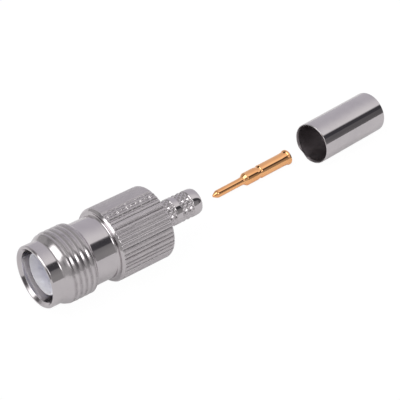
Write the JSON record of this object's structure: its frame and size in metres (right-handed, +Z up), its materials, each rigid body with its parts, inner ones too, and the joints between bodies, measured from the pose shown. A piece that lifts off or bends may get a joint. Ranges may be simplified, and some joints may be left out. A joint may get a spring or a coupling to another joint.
{
  "type": "tnc crimp jack",
  "caption": "Threaded coaxial crimp jack with knurled grip and crimp stem, laid out with its loose pin contact and crimp ferrule before it is fitted to a cable.",
  "frame": {"origin": "middle of the laid-out kit's outline, on the surface that the pieces lie on", "axes": "+X along the jack's axis from its mouth to its cable end, +Z up from the surface"},
  "size_m": [0.0712, 0.0128, 0.0117],
  "materials": {
    "shell_nickel": "turned brass with bright nickel plating",
    "stem_nickel": "turned and knurled brass with bright nickel plating",
    "white_dielectric": "turned white dielectric, smooth and waxy",
    "contact_gold": "turned brass with bright gold plating",
    "ferrule_nickel": "annealed brass tube with bright nickel plating"
  },
  "bodies": {
    "root": {"body_shell": "shell_nickel", "crimp_stem": "stem_nickel", "insulator": "white_dielectric", "centre_contact": "contact_gold", "crimp_ferrule": "ferrule_nickel"}
  },
  "joints": []
}
